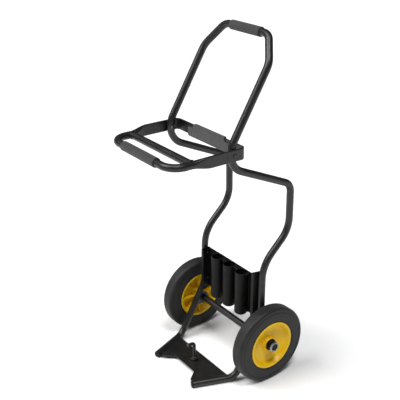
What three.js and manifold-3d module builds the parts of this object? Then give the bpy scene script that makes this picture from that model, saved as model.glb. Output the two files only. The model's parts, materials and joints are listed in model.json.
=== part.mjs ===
// Two-wheeled garden cart: a bent steel tube frame that carries a tilting bag ring, a tool holder,
// a base plate with a hook, and two plastic wheels on one axle.
// Millimetres, +Z up. -Y is the front, where the feet and the ring point. Left is -X and right is +X.
// Heights are from the ground. Y is measured from the axle here, and the whole cart is then
// shifted so that the origin lies on the ground under the middle of its bounding box.
import * as THREE from "three";
import { mergeVertices } from "three/addons/utils/BufferGeometryUtils.js";
import Module from "manifold-3d";

const wasm = await Module();
wasm.setup();

// ---------------------------------------------------------------- driving dimensions

const GAP = 0.3; // between pieces that touch
const TUBE_R = 11; // every frame tube is 22 mm steel tube
const TUBE_SIDES = 10;
const TUBE_STEP = 18; // length of one facet along a bent tube

const WHEEL_R = 125;
const WHEEL_SIDES = 32;
const WHEEL_X = 186; // middle plane of each wheel
const SIDE_X = 145; // centre line of each side tube
const TOP_X = 95; // where the tapered handle meets its top bar
const TOE_X = 97; // the feet turn in towards each other

// Corners of a side tube's centre line, from the handle down to the toe, with their bend radii.
const TOP = { y: 40, z: 1053, r: 35 };
const SHOULDER = { y: 1, z: 987, r: 60 };
const ELBOW = { y: -152, z: 728, r: 65 };
const BACK = { y: 102, z: 615, r: 38 };
const SEAT = { y: 104, z: 468, r: 90 };
const HIP = { y: 5, z: 372, r: 110 };
const ANKLE = { y: 5, z: 188, r: 60 };
const HEEL = { y: -93, z: TUBE_R, r: 40 };
const TOE = { y: -220, z: TUBE_R };

// The tubes plug into each other at two places on each side.
const HANDLE_JOINT_Z = 860;
const LEG_JOINT_Z = 308;
const SPIGOT_R = 9.2;
const SPIGOT_LENGTH = 34;

// The ring is a closed loop: a round tube in front, pressed flat along its sides, and a flat strap behind.
const RING_FRONT = 322; // distance of its front bar ahead of the axle
const RING_X = 150; // centre line of its round arms
const RING_FRONT_R = 45;
const FLAT_X = 160.5; // centre line of its flat arms, just outside the side tubes
const FLAT_START = 258; // the pressing starts and ends at these distances ahead of the axle
const FLAT_FULL = 200;
const FLAT_BACK = 87;
const FLAT_BACK_R = 14;
const FLAT_THICKNESS = 6;
const FLAT_HEIGHT = 35;
const SEAM = 150; // where the pressed tube meets the strap
const CROSS_BAR = 255.6;

const GRIP_R = 14.2;
const HANDLE_GRIP_LENGTH = 130;
const RING_GRIP_LENGTH = 164;

const PIVOT_BOLT_R = 4;
const STOP_PIN_R = 4;
const STOP_PIN_GAP = 0.8;
const STOP_PIN_ANGLE = THREE.MathUtils.degToRad(20);

const AXLE_END = 218;
const AXLE_BORE_R = 9;
const HUB_BORE_R = 14;

const HOLDER_TOP = 319;
const HOLDER_BOTTOM = 176;
const HOLDER_BACK = 14; // its flat back lies this far behind the axle
const POCKET_BOTTOM = 171;
const POCKET_Y = -6.5;
const POCKET_PITCH = 61;
const POCKET_R = 20.5;
const POCKET_BORE_R = 17.5;
const POCKET_SIDES = 16;
const CHEEK_X = SIDE_X - TUBE_R - GAP; // the holder's end walls lie along the insides of the legs
const CHEEK_THICKNESS = 4;
const CHEEK_FRONT = 19; // distance of their front edges ahead of the axle
const CHEEK_LIP = 12; // width of the lip that each front edge is turned in by
const CHEEK_BOTTOM = 170;
const LEFT_CHEEK_TOP = 319;
const RIGHT_CHEEK_TOP = 347; // the right wall stands taller than the left one
const HOLDER_SCREW_Z = [300, 206];

const PLATE_BOTTOM = 11.5;
const PLATE_THICKNESS = 3;
const PLATE_BACK = 108; // distances ahead of the axle
const PLATE_FRONT = 181;
const PLATE_WING = 214;
const HOOK_Y = -144;
const HOOK_R = 5.5;
const HOOK_BOSS_R = 13.5;
const HOOK_BOSS_TOP = 24.5;
const HOOK_BOLT_R = 4;

// ---------------------------------------------------------------- materials

const finish = (color, roughness, metalness) =>
  new THREE.MeshStandardMaterial({ color, roughness, metalness });
const POWDER_COAT = finish(0x1b1b1b, 0.42, 0.3);
const FOAM = finish(0x3c3c3c, 0.85, 0);
const SOFT_PAD = finish(0x4a4a4a, 0.7, 0);
const BLACK_PLASTIC = finish(0x141414, 0.45, 0);
const YELLOW_PLASTIC = finish(0xd9a800, 0.4, 0);
const TYRE = finish(0x2b2b2b, 0.8, 0);
const CHROME = finish(0xc9c9c9, 0.2, 1);
const BLACK_STEEL = finish(0x161616, 0.5, 0.6);

// ---------------------------------------------------------------- shape helpers

const point = (x, y, z) => new THREE.Vector3(x, y, z);

// A closed manifold-3d solid from a closed three.js geometry.
function solid(geometry) {
  const bare = new THREE.BufferGeometry();
  bare.setAttribute("position", geometry.getAttribute("position").clone());
  if (geometry.index) bare.setIndex(geometry.index.clone());
  const merged = mergeVertices(bare, 1e-3);
  const vertProperties = merged.getAttribute("position").array;
  const triVerts = new Uint32Array(merged.index.array);
  return new wasm.Manifold(new wasm.Mesh({ numProp: 3, vertProperties, triVerts }));
}

function geometryOf(made) {
  const { vertProperties, triVerts } = made.getMesh();
  const geometry = new THREE.BufferGeometry();
  geometry.setAttribute("position", new THREE.BufferAttribute(vertProperties, 3));
  geometry.setIndex(new THREE.BufferAttribute(triVerts, 1));
  geometry.computeVertexNormals();
  return geometry;
}

function cut(body, ...tools) {
  const made = tools.reduce((left, tool) => left.subtract(solid(tool)), solid(body));
  return geometryOf(made);
}

function join(...pieces) {
  return geometryOf(pieces.map(solid).reduce((sum, piece) => sum.add(piece)));
}

function block(x0, x1, y0, y1, z0, z1) {
  const box = new THREE.BoxGeometry(x1 - x0, y1 - y0, z1 - z0);
  return box.translate((x0 + x1) / 2, (y0 + y1) / 2, (z0 + z1) / 2);
}

// A straight round bar between two points.
function rod(from, to, radius, sides = TUBE_SIDES) {
  const along = to.clone().sub(from);
  const bar = new THREE.CylinderGeometry(radius, radius, along.length(), sides);
  const turn = new THREE.Quaternion().setFromUnitVectors(point(0, 1, 0), along.clone().normalize());
  bar.applyQuaternion(turn);
  const middle = from.clone().add(to).multiplyScalar(0.5);
  return bar.translate(middle.x, middle.y, middle.z);
}

// A shape turned about the X axis. The profile is a list of [x, radius] that goes round clockwise.
function turned(profile, sides) {
  const outline = profile.map(([x, radius]) => new THREE.Vector2(radius, x));
  return new THREE.LatheGeometry(outline, sides).rotateZ(-Math.PI / 2);
}

// A sleeve about the X axis, open at both ends.
function sleeve(x0, x1, inner, outer, sides = TUBE_SIDES) {
  const profile = [[x0, inner], [x0, outer], [x1, outer], [x1, inner], [x0, inner]];
  return turned(profile, sides);
}

// The arc of a bend between two straight runs, with the ends of the arc.
function bend(before, corner, after, radius) {
  const into = corner.clone().sub(before).normalize();
  const out = after.clone().sub(corner).normalize();
  const turn = into.angleTo(out);
  const reach = radius * Math.tan(turn / 2);
  const pull = (4 / 3) * radius * Math.tan(turn / 4);
  const start = corner.clone().addScaledVector(into, -reach);
  const end = corner.clone().addScaledVector(out, reach);
  const startPull = start.clone().addScaledVector(into, pull);
  const endPull = end.clone().addScaledVector(out, -pull);
  return { start, end, arc: new THREE.CubicBezierCurve3(start, startPull, endPull, end) };
}

// Straight runs joined by round bends. Each corner is { at, r }; the first and last need no radius.
function bentPath(corners) {
  const path = new THREE.CurvePath();
  let from = corners[0].at;
  for (let i = 1; i < corners.length - 1; i++) {
    const { start, end, arc } = bend(corners[i - 1].at, corners[i].at, corners[i + 1].at, corners[i].r);
    path.add(new THREE.LineCurve3(from, start));
    path.add(arc);
    from = end;
  }
  path.add(new THREE.LineCurve3(from, corners.at(-1).at));
  return path;
}

function bentRod(corners, radius, sides = TUBE_SIDES, step = TUBE_STEP) {
  const outline = [];
  for (let i = 0; i < sides; i++) {
    const angle = (2 * Math.PI * i) / sides;
    outline.push(new THREE.Vector2(radius * Math.cos(angle), radius * Math.sin(angle)));
  }
  const extrudePath = bentPath(corners);
  const steps = Math.ceil(extrudePath.getLength() / step);
  return new THREE.ExtrudeGeometry(new THREE.Shape(outline), { extrudePath, steps, bevelEnabled: false });
}

// ---------------------------------------------------------------- places worked out from the dimensions

const sideCorner = (side, corner) => ({ at: point(side * SIDE_X, corner.y, corner.z), r: corner.r });

// A point on a straight run of the side tube, at a given height.
function onRun(side, upper, lower, z) {
  const share = (z - lower.z) / (upper.z - lower.z);
  return point(side * SIDE_X, lower.y + share * (upper.y - lower.y), z);
}

// The ring turns about the middle of the elbow bend, level with the bend's own centre.
function elbowCentre() {
  const into = new THREE.Vector2(ELBOW.y - SHOULDER.y, ELBOW.z - SHOULDER.z).normalize();
  const out = new THREE.Vector2(BACK.y - ELBOW.y, BACK.z - ELBOW.z).normalize();
  const turn = Math.acos(into.dot(out));
  const inward = out.clone().sub(into).normalize();
  const away = ELBOW.r / Math.cos(turn / 2);
  return { y: ELBOW.y + inward.x * away, z: ELBOW.z + inward.y * away };
}
const BEND_CENTRE = elbowCentre();
const PIVOT = { y: BEND_CENTRE.y - ELBOW.r, z: BEND_CENTRE.z };
const FLAT_INNER = FLAT_X - FLAT_THICKNESS / 2;
const FLAT_OUTER = FLAT_X + FLAT_THICKNESS / 2;

// ---------------------------------------------------------------- frame tubes

function handleTube() {
  const joint = (side) => onRun(side, SHOULDER, ELBOW, HANDLE_JOINT_Z);
  const top = (side) => ({ at: point(side * TOP_X, TOP.y, TOP.z), r: TOP.r });
  const left = [{ at: joint(-1) }, sideCorner(-1, SHOULDER), top(-1)];
  const right = [top(1), sideCorner(1, SHOULDER), { at: joint(1) }];
  const bow = bentRod([...left, ...right], TUBE_R);
  const sockets = [-1, 1].map((side) => {
    const deep = onRun(side, SHOULDER, ELBOW, HANDLE_JOINT_Z + SPIGOT_LENGTH);
    const below = onRun(side, SHOULDER, ELBOW, HANDLE_JOINT_Z - TUBE_R);
    return rod(below, deep, SPIGOT_R + GAP);
  });
  return cut(bow, ...sockets);
}

function columnTube(side) {
  const upper = onRun(side, SHOULDER, ELBOW, HANDLE_JOINT_Z - GAP);
  const lower = point(side * SIDE_X, HIP.y, LEG_JOINT_Z + GAP);
  const corners = [{ at: upper }, ...[ELBOW, BACK, SEAT, HIP].map((c) => sideCorner(side, c)), { at: lower }];
  const spigotFoot = onRun(side, SHOULDER, ELBOW, HANDLE_JOINT_Z - TUBE_R);
  const spigotTip = onRun(side, SHOULDER, ELBOW, HANDLE_JOINT_Z + SPIGOT_LENGTH - 2);
  const tube = join(bentRod(corners, TUBE_R), rod(spigotFoot, spigotTip, SPIGOT_R));
  const socketMouth = point(side * SIDE_X, HIP.y, LEG_JOINT_Z - TUBE_R);
  const socketEnd = point(side * SIDE_X, HIP.y, LEG_JOINT_Z + SPIGOT_LENGTH);
  const boltFrom = point(side * (SIDE_X - 2 * TUBE_R), PIVOT.y, PIVOT.z);
  const boltTo = point(side * (SIDE_X + 2 * TUBE_R), PIVOT.y, PIVOT.z);
  return cut(tube, rod(socketMouth, socketEnd, SPIGOT_R + GAP), rod(boltFrom, boltTo, PIVOT_BOLT_R + GAP));
}

function legTube(side) {
  const upper = point(side * SIDE_X, HIP.y, LEG_JOINT_Z);
  const toe = point(side * TOE_X, TOE.y, TOE.z);
  const tube = bentRod([{ at: upper }, sideCorner(side, ANKLE), sideCorner(side, HEEL), { at: toe }], TUBE_R);
  const spigotFoot = point(side * SIDE_X, HIP.y, LEG_JOINT_Z - TUBE_R);
  const spigotTip = point(side * SIDE_X, HIP.y, LEG_JOINT_Z + SPIGOT_LENGTH - 2);
  return join(tube, rod(spigotFoot, spigotTip, SPIGOT_R));
}

// A short screw behind each handle joint, which keeps the two tubes together.
function jointScrew(side) {
  const run = onRun(side, SHOULDER, ELBOW, HANDLE_JOINT_Z + SPIGOT_LENGTH / 2);
  const back = point(0, SHOULDER.z - ELBOW.z, ELBOW.y - SHOULDER.y).normalize();
  const head = run.clone().addScaledVector(back, TUBE_R + GAP);
  return rod(head, head.clone().addScaledVector(back, 1), 4.5, 10);
}

// The head of the plastic plug that closes the open end of a foot.
function footCap(side) {
  const heel = point(side * SIDE_X, HEEL.y, HEEL.z);
  const toe = point(side * TOE_X, TOE.y, TOE.z);
  const ahead = toe.clone().sub(heel).normalize();
  return rod(toe.clone().addScaledVector(ahead, GAP), toe.clone().addScaledVector(ahead, 5), TUBE_R);
}

// ---------------------------------------------------------------- tilting ring

// How far the ring's tube is pressed flat at a given place: 0 is round and 1 is flat.
const pressed = (y) => THREE.MathUtils.smoothstep(y, -FLAT_START, -FLAT_FULL);

function ringPath() {
  const path = new THREE.CurvePath();
  const at = (x, y) => point(x, y, PIVOT.z);
  const frontRight = bend(at(0, -RING_FRONT), at(RING_X, -RING_FRONT), at(RING_X, 0), RING_FRONT_R);
  const backRight = bend(at(FLAT_X, -RING_FRONT), at(FLAT_X, -FLAT_BACK), at(0, -FLAT_BACK), FLAT_BACK_R);
  const backLeft = bend(at(0, -FLAT_BACK), at(-FLAT_X, -FLAT_BACK), at(-FLAT_X, -RING_FRONT), FLAT_BACK_R);
  const frontLeft = bend(at(-RING_X, 0), at(-RING_X, -RING_FRONT), at(0, -RING_FRONT), RING_FRONT_R);
  const line = (from, to) => path.add(new THREE.LineCurve3(from, to));
  const sway = (x0, y0, x1, y1) => {
    const middle = (y0 + y1) / 2;
    path.add(new THREE.CubicBezierCurve3(at(x0, y0), at(x0, middle), at(x1, middle), at(x1, y1)));
  };
  line(frontLeft.end, frontRight.start);
  path.add(frontRight.arc);
  line(frontRight.end, at(RING_X, -FLAT_START));
  sway(RING_X, -FLAT_START, FLAT_X, -FLAT_FULL);
  line(at(FLAT_X, -FLAT_FULL), backRight.start);
  path.add(backRight.arc);
  line(backRight.end, backLeft.start);
  path.add(backLeft.arc);
  line(backLeft.end, at(-FLAT_X, -FLAT_FULL));
  sway(-FLAT_X, -FLAT_FULL, -RING_X, -FLAT_START);
  line(at(-RING_X, -FLAT_START), frontLeft.start);
  path.add(frontLeft.arc);
  return path;
}

// The ring's skin: one outline at each station along the closed path, joined to the next one.
function ringLoop() {
  const stations = ringPath().getPoints(6).slice(0, -1);
  const count = stations.length;
  const positions = [];
  const index = [];
  stations.forEach((centre, i) => {
    const next = stations[(i + 1) % count];
    const previous = stations[(i + count - 1) % count];
    const ahead = next.clone().sub(centre).normalize();
    const along = centre.clone().sub(previous).normalize().add(ahead).normalize();
    const outward = point(along.y, -along.x, 0);
    const spread = 1 / Math.max(along.dot(ahead), 0.5);
    const thickness = THREE.MathUtils.lerp(2 * TUBE_R, FLAT_THICKNESS, pressed(centre.y));
    const height = THREE.MathUtils.lerp(2 * TUBE_R, FLAT_HEIGHT, pressed(centre.y));
    for (let k = 0; k < TUBE_SIDES; k++) {
      const angle = ((k + 0.5) * 2 * Math.PI) / TUBE_SIDES;
      const side = (spread * thickness * Math.cos(angle)) / 2;
      const rise = (thickness * Math.sin(angle) + (height - thickness) * Math.sign(Math.sin(angle))) / 2;
      const here = centre.clone().addScaledVector(outward, side);
      positions.push(here.x, here.y, here.z + rise);
      const a = i * TUBE_SIDES + k;
      const b = i * TUBE_SIDES + ((k + 1) % TUBE_SIDES);
      const c = ((i + 1) % count) * TUBE_SIDES + k;
      const d = ((i + 1) % count) * TUBE_SIDES + ((k + 1) % TUBE_SIDES);
      index.push(a, c, b, b, c, d);
    }
  });
  const skin = new THREE.BufferGeometry();
  skin.setAttribute("position", new THREE.Float32BufferAttribute(positions, 3));
  skin.setIndex(index);
  const bores = [-1, 1].map((side) => {
    const from = point(side * (FLAT_INNER - 4), PIVOT.y, PIVOT.z);
    const to = point(side * (FLAT_OUTER + 4), PIVOT.y, PIVOT.z);
    return rod(from, to, PIVOT_BOLT_R + GAP, 16);
  });
  return cut(skin, ...bores);
}

function ringTube() {
  return cut(ringLoop(), block(-200, 200, -SEAM - GAP / 2, 0, PIVOT.z - 50, PIVOT.z + 50));
}

function ringStrap() {
  return cut(ringLoop(), block(-200, 200, -RING_FRONT - 50, -SEAM + GAP / 2, PIVOT.z - 50, PIVOT.z + 50));
}

function ringCrossBar() {
  const end = (side) => point(side * RING_X, -CROSS_BAR, PIVOT.z);
  const arm = (side) => {
    const front = point(side * RING_X, -CROSS_BAR - 60, PIVOT.z);
    const back = point(side * RING_X, -CROSS_BAR + 60, PIVOT.z);
    return rod(front, back, TUBE_R + 2 * GAP, 24);
  };
  return cut(rod(end(-1), end(1), TUBE_R), arm(-1), arm(1));
}

// A soft pad that sits over the flat back of the ring, lower and wider at its two ends.
function ringPad() {
  const wall = 2.5;
  const half = FLAT_THICKNESS / 2 + GAP;
  const middle = -FLAT_BACK;
  const roof = PIVOT.z + FLAT_HEIGHT / 2 + GAP;
  const foot = PIVOT.z - FLAT_HEIGHT / 2 - 4;
  const saddle = block(-72, 72, middle - half - wall, middle + half + wall, foot, roof + wall);
  const wings = block(-100, 100, middle - half - wall, middle - half, foot, PIVOT.z + 8);
  const strap = block(-200, 200, middle - half, middle + half, foot - 1, roof);
  return cut(join(saddle, wings), strap);
}

// A stop pin stands inside each flat arm and meets the back of the elbow bend when the ring is level.
function stopPin(side) {
  const inner = ELBOW.r - TUBE_R - STOP_PIN_R - STOP_PIN_GAP;
  const swing = ELBOW.r * Math.cos(STOP_PIN_ANGLE);
  const reach = swing - Math.sqrt(swing * swing - ELBOW.r * ELBOW.r + inner * inner);
  const y = PIVOT.y + reach * Math.cos(STOP_PIN_ANGLE);
  const z = PIVOT.z + reach * Math.sin(STOP_PIN_ANGLE);
  return rod(point(side * (SIDE_X - 4), y, z), point(side * (FLAT_INNER - GAP), y, z), STOP_PIN_R, 10);
}

function pivotBolt(side) {
  const head = FLAT_OUTER + GAP;
  const profile = [
    [SIDE_X - TUBE_R - 9, 0], [SIDE_X - TUBE_R - 9, PIVOT_BOLT_R], [head, PIVOT_BOLT_R],
    [head, 6.5], [head + 0.7, 6.5], [head + 1.6, 4.5], [head + 1.6, 0],
  ];
  return placedAbout(turned(profile, 16), side);
}

function pivotWasher(side) {
  const inner = SIDE_X + TUBE_R + GAP / 2;
  return placedAbout(sleeve(inner, FLAT_INNER - GAP / 2, PIVOT_BOLT_R + GAP, 9, 16), side);
}

function pivotNut(side) {
  const outer = SIDE_X - TUBE_R - GAP;
  const nut = rod(point(outer - 7.5, 0, 0), point(outer, 0, 0), 7.5, 6);
  const hole = rod(point(0, 0, 0), point(FLAT_X, 0, 0), PIVOT_BOLT_R + GAP, 16);
  return placedAbout(cut(nut, hole), side);
}

// Turns a piece that is modelled for the right-hand side about the X axis onto the pivot of either side.
function placedAbout(geometry, side) {
  if (side < 0) geometry.rotateZ(Math.PI);
  return geometry.translate(0, PIVOT.y, PIVOT.z);
}

// ---------------------------------------------------------------- wheels and axle

// In a wheel's own frame X is its axis, 0 is its middle plane, and +X points away from the cart.
function tyre() {
  const profile = [
    [19, 74], [22, 87], [21, 110], [17.4, 121], [10, WHEEL_R],
    [-10, WHEEL_R], [-17.4, 121], [-21, 110], [-22, 87], [-19, 74], [19, 74],
  ];
  return turned(profile.reverse(), WHEEL_SIDES);
}

function rim() {
  const profile = [
    [-23, HUB_BORE_R], [-23, 20], [-2, 22.5], [-1.5, 62], [-22.6, 73.5], [-22.6, 77.5], [-20.5, 77.5],
    [-19.4, 73.7], [19.4, 73.7], [20.5, 77.5], [22.6, 77.5], [22.6, 72.5], [7, 61], [1.5, 40], [1.5, 25],
    [14.5, 20], [14.5, HUB_BORE_R], [-23, HUB_BORE_R],
  ];
  const ribs = [];
  for (let i = 0; i < 8; i++) {
    const rib = block(-19, -0.5, -1.6, 1.6, 19, 68);
    ribs.push(rib.rotateX((i * Math.PI) / 4));
  }
  return join(turned(profile, WHEEL_SIDES), ...ribs);
}

function hubBush() {
  const profile = [
    [-24, TUBE_R + GAP], [-24, HUB_BORE_R - GAP], [14.5 + GAP, HUB_BORE_R - GAP], [14.5 + GAP, 19],
    [17, 19], [17, TUBE_R + GAP], [-24, TUBE_R + GAP],
  ];
  return turned(profile, 20);
}

const hubCollar = () => sleeve(17 + GAP, AXLE_END - WHEEL_X - 1, TUBE_R + GAP, 17, 20);

// A bright pressed ring with a turned-in edge, pushed onto the end of the axle.
function axleCap() {
  const back = AXLE_END - WHEEL_X - 1 + GAP;
  const profile = [
    [back, TUBE_R + GAP], [back, 17.5], [back + 2, 17.5], [back + 3.4, 15], [back + 3.4, TUBE_R + GAP],
    [back, TUBE_R + GAP],
  ];
  return turned(profile, 24);
}

function axlePlug() {
  const end = AXLE_END - WHEEL_X;
  const profile = [
    [end - 12, 0], [end - 12, 8.6], [end + GAP, 8.6], [end + GAP, 10.6], [end + 1.5, 10], [end + 1.5, 0],
  ];
  return turned(profile, 16);
}

const axle = () => sleeve(-AXLE_END, AXLE_END, AXLE_BORE_R, TUBE_R, 16).translate(0, 0, WHEEL_R);

const axleSpacer = () => sleeve(SIDE_X + TUBE_R + 1, WHEEL_X - 24 - GAP, TUBE_R + GAP, 15, 16);

// A welded cheek that ties the axle to the back of a leg.
function axleBracket(side) {
  const outline = new THREE.Shape();
  outline.moveTo(-22, WHEEL_R + 24);
  outline.lineTo(-6, WHEEL_R + 24);
  outline.absarc(0, WHEEL_R, 17, Math.PI / 3, -Math.PI / 2, true);
  outline.lineTo(-36, WHEEL_R - 20);
  outline.closePath();
  const cheek = new THREE.ExtrudeGeometry(outline, { depth: 5, bevelEnabled: false, curveSegments: 8 });
  const upright = new THREE.Matrix4().makeBasis(point(0, 1, 0), point(0, 0, 1), point(1, 0, 0));
  cheek.applyMatrix4(upright).translate(side * SIDE_X - 2.5, 0, 0);
  const boreEnd = (x) => point(side * SIDE_X + x, 0, WHEEL_R);
  const bore = rod(boreEnd(-9), boreEnd(9), TUBE_R + GAP, 16);
  const share = (z) => ANKLE.y + ((z - ANKLE.z) * (HEEL.y - ANKLE.y)) / (HEEL.z - ANKLE.z);
  const high = point(side * SIDE_X, share(WHEEL_R + 60), WHEEL_R + 60);
  const low = point(side * SIDE_X, share(WHEEL_R - 60), WHEEL_R - 60);
  return cut(cheek, bore, rod(low, high, TUBE_R + 3 * GAP, 24));
}

// ---------------------------------------------------------------- tool holder

// A round pocket with a domed bottom, open at the top, about the Z axis.
function pocket() {
  const profile = [[0, POCKET_BOTTOM]];
  for (let i = 1; i <= 3; i++) {
    const angle = (i * Math.PI) / 6;
    profile.push([POCKET_R * Math.sin(angle), POCKET_BOTTOM + 9 * (1 - Math.cos(angle))]);
  }
  profile.push([POCKET_R, HOLDER_TOP], [POCKET_BORE_R, HOLDER_TOP], [POCKET_BORE_R, POCKET_BOTTOM + 14]);
  profile.push([0, POCKET_BOTTOM + 8]);
  const outline = profile.map(([radius, z]) => new THREE.Vector2(radius, z));
  return new THREE.LatheGeometry(outline, POCKET_SIDES).rotateX(Math.PI / 2);
}

function toolHolder() {
  const pocketX = [-POCKET_PITCH, 0, POCKET_PITCH];
  const cups = pocketX.map((x) => pocket().translate(x, POCKET_Y, 0));
  const panel = block(-CHEEK_X, CHEEK_X, HOLDER_BACK - 4, HOLDER_BACK, HOLDER_BOTTOM, HOLDER_TOP);
  const rail = block(-86, 86, POCKET_Y, HOLDER_BACK, HOLDER_TOP - 6, HOLDER_TOP);
  const bores = pocketX.map((x) => {
    const low = point(x, POCKET_Y, POCKET_BOTTOM + 14);
    return rod(low, point(x, POCKET_Y, HOLDER_TOP + 5), POCKET_BORE_R, POCKET_SIDES);
  });
  const cheeks = [...cheek(-1, LEFT_CHEEK_TOP), ...cheek(1, RIGHT_CHEEK_TOP)];
  return cut(join(panel, rail, ...cups, ...cheeks), ...bores);
}

// An end wall of the holder, and the lip along its front edge.
function cheek(side, top) {
  const across = (from, to) => (side < 0 ? [-to, -from] : [from, to]);
  const wall = across(CHEEK_X - CHEEK_THICKNESS, CHEEK_X);
  const lip = across(CHEEK_X - CHEEK_LIP, CHEEK_X);
  return [
    block(...wall, -CHEEK_FRONT, HOLDER_BACK, CHEEK_BOTTOM, top),
    block(...lip, -CHEEK_FRONT, -CHEEK_FRONT + 3, CHEEK_BOTTOM, top),
  ];
}

function holderScrew(side, z) {
  const under = CHEEK_X - CHEEK_THICKNESS - GAP;
  return rod(point(side * under, HIP.y, z), point(side * (under - 2.6), HIP.y, z), 4.2, 10);
}

// ---------------------------------------------------------------- base plate and hook

// Half-width of the plate beside the foot, at a distance ahead of the axle.
function footEdge(ahead) {
  const share = (ahead + HEEL.y) / (HEEL.y - TOE.y);
  const slope = (SIDE_X - TOE_X) / (HEEL.y - TOE.y);
  const inset = (TUBE_R + 2 * GAP) * Math.hypot(1, slope);
  return SIDE_X + share * (TOE_X - SIDE_X) - inset;
}

function basePlate() {
  const outline = new THREE.Shape();
  outline.moveTo(-footEdge(PLATE_BACK), -PLATE_BACK);
  outline.lineTo(-footEdge(PLATE_WING), -PLATE_WING);
  outline.lineTo(-footEdge(PLATE_WING) + 10, -PLATE_WING);
  outline.quadraticCurveTo(-52, -PLATE_FRONT - 6, -44, -PLATE_FRONT);
  outline.lineTo(44, -PLATE_FRONT);
  outline.quadraticCurveTo(52, -PLATE_FRONT - 6, footEdge(PLATE_WING) - 10, -PLATE_WING);
  outline.lineTo(footEdge(PLATE_WING), -PLATE_WING);
  outline.lineTo(footEdge(PLATE_BACK), -PLATE_BACK);
  outline.closePath();
  const flat = { depth: PLATE_THICKNESS, bevelEnabled: false, curveSegments: 6 };
  const sheet = new THREE.ExtrudeGeometry(outline, flat).translate(0, 0, PLATE_BOTTOM);
  return cut(sheet, rod(point(0, HOOK_Y, 0), point(0, HOOK_Y, 40), HOOK_BOLT_R + GAP, 16));
}

const PLATE_TOP = PLATE_BOTTOM + PLATE_THICKNESS;

// A shape turned about the upright line through the hook, from [radius, height] pairs.
function aboutHook(profile, sides) {
  const outline = profile.map(([radius, z]) => new THREE.Vector2(radius, z));
  return new THREE.LatheGeometry(outline, sides).rotateX(Math.PI / 2).translate(0, HOOK_Y, 0);
}

// An upright rod with a forward hook, on a round boss that is tapped from below.
function plateHook() {
  const low = PLATE_TOP + GAP;
  const tapped = HOOK_BOSS_TOP - 2;
  const bore = HOOK_BOLT_R + GAP;
  const boss = [
    [bore, low], [HOOK_BOSS_R, low], [HOOK_BOSS_R, HOOK_BOSS_TOP - 1.5], [HOOK_BOSS_R - 1.5, HOOK_BOSS_TOP],
    [0, HOOK_BOSS_TOP], [0, tapped], [bore, tapped], [bore, low],
  ];
  const corners = [
    { at: point(0, HOOK_Y, tapped + 0.5) },
    { at: point(0, HOOK_Y, 76), r: 10 },
    { at: point(0, HOOK_Y - 26, 78) },
  ];
  return join(aboutHook(boss, 24), bentRod(corners, HOOK_R, 10, 6));
}

// The bolt that holds the hook, driven up through the plate.
function hookBolt() {
  const head = rod(point(0, HOOK_Y, PLATE_BOTTOM - 5.3), point(0, HOOK_Y, PLATE_BOTTOM - GAP), 7.5, 6);
  const shank = rod(point(0, HOOK_Y, PLATE_BOTTOM - 2), point(0, HOOK_Y, HOOK_BOSS_TOP - 3), HOOK_BOLT_R, 16);
  return join(head, shank);
}

// ---------------------------------------------------------------- assembly

const cart = new THREE.Group();

function add(group, name, geometry, material) {
  const mesh = new THREE.Mesh(geometry, material);
  mesh.name = name;
  group.add(mesh);
}

function alongX(geometry, y, z) {
  return geometry.translate(0, y, z);
}

add(cart, "handle_tube", handleTube(), POWDER_COAT);
const handleGrip = sleeve(-HANDLE_GRIP_LENGTH / 2, HANDLE_GRIP_LENGTH / 2, TUBE_R + GAP, GRIP_R, 16);
add(cart, "handle_grip", alongX(handleGrip, TOP.y, TOP.z), FOAM);

add(cart, "ring_tube", ringTube(), POWDER_COAT);
add(cart, "ring_strap", ringStrap(), POWDER_COAT);
add(cart, "ring_cross_bar", ringCrossBar(), POWDER_COAT);
const ringGrip = sleeve(-RING_GRIP_LENGTH / 2, RING_GRIP_LENGTH / 2, TUBE_R + GAP, GRIP_R, 16);
add(cart, "ring_grip", alongX(ringGrip, -RING_FRONT, PIVOT.z), FOAM);
add(cart, "ring_back_pad", ringPad(), SOFT_PAD);

add(cart, "axle", axle(), POWDER_COAT);
add(cart, "tool_holder", toolHolder(), BLACK_PLASTIC);
add(cart, "base_plate", basePlate(), POWDER_COAT);
add(cart, "plate_hook", plateHook(), BLACK_STEEL);
add(cart, "hook_bolt", hookBolt(), BLACK_STEEL);

for (const [word, side] of [["left", -1], ["right", 1]]) {
  add(cart, word + "_column_tube", columnTube(side), POWDER_COAT);
  add(cart, word + "_leg_tube", legTube(side), POWDER_COAT);
  add(cart, word + "_joint_screw", jointScrew(side), BLACK_STEEL);
  add(cart, word + "_foot_cap", footCap(side), BLACK_PLASTIC);
  add(cart, word + "_axle_bracket", axleBracket(side), POWDER_COAT);
  add(cart, word + "_stop_pin", stopPin(side), BLACK_STEEL);
  add(cart, word + "_pivot_bolt", pivotBolt(side), BLACK_STEEL);
  add(cart, word + "_pivot_washer", pivotWasher(side), BLACK_PLASTIC);
  add(cart, word + "_pivot_nut", pivotNut(side), BLACK_STEEL);
  add(cart, word + "_upper_holder_screw", holderScrew(side, HOLDER_SCREW_Z[0]), BLACK_STEEL);
  add(cart, word + "_lower_holder_screw", holderScrew(side, HOLDER_SCREW_Z[1]), BLACK_STEEL);

  // Everything on the axle outside the legs is the same on both sides, turned half a turn about Z.
  const end = new THREE.Group();
  end.position.z = WHEEL_R;
  if (side < 0) end.rotation.z = Math.PI;
  cart.add(end);
  add(end, word + "_axle_spacer", axleSpacer(), BLACK_PLASTIC);
  const wheel = new THREE.Group();
  wheel.position.x = WHEEL_X;
  end.add(wheel);
  add(wheel, word + "_tyre", tyre(), TYRE);
  add(wheel, word + "_rim", rim(), YELLOW_PLASTIC);
  add(wheel, word + "_hub_bush", hubBush(), BLACK_PLASTIC);
  add(wheel, word + "_hub_collar", hubCollar(), BLACK_PLASTIC);
  add(wheel, word + "_axle_cap", axleCap(), CHROME);
  add(wheel, word + "_axle_plug", axlePlug(), BLACK_PLASTIC);
}

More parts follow.
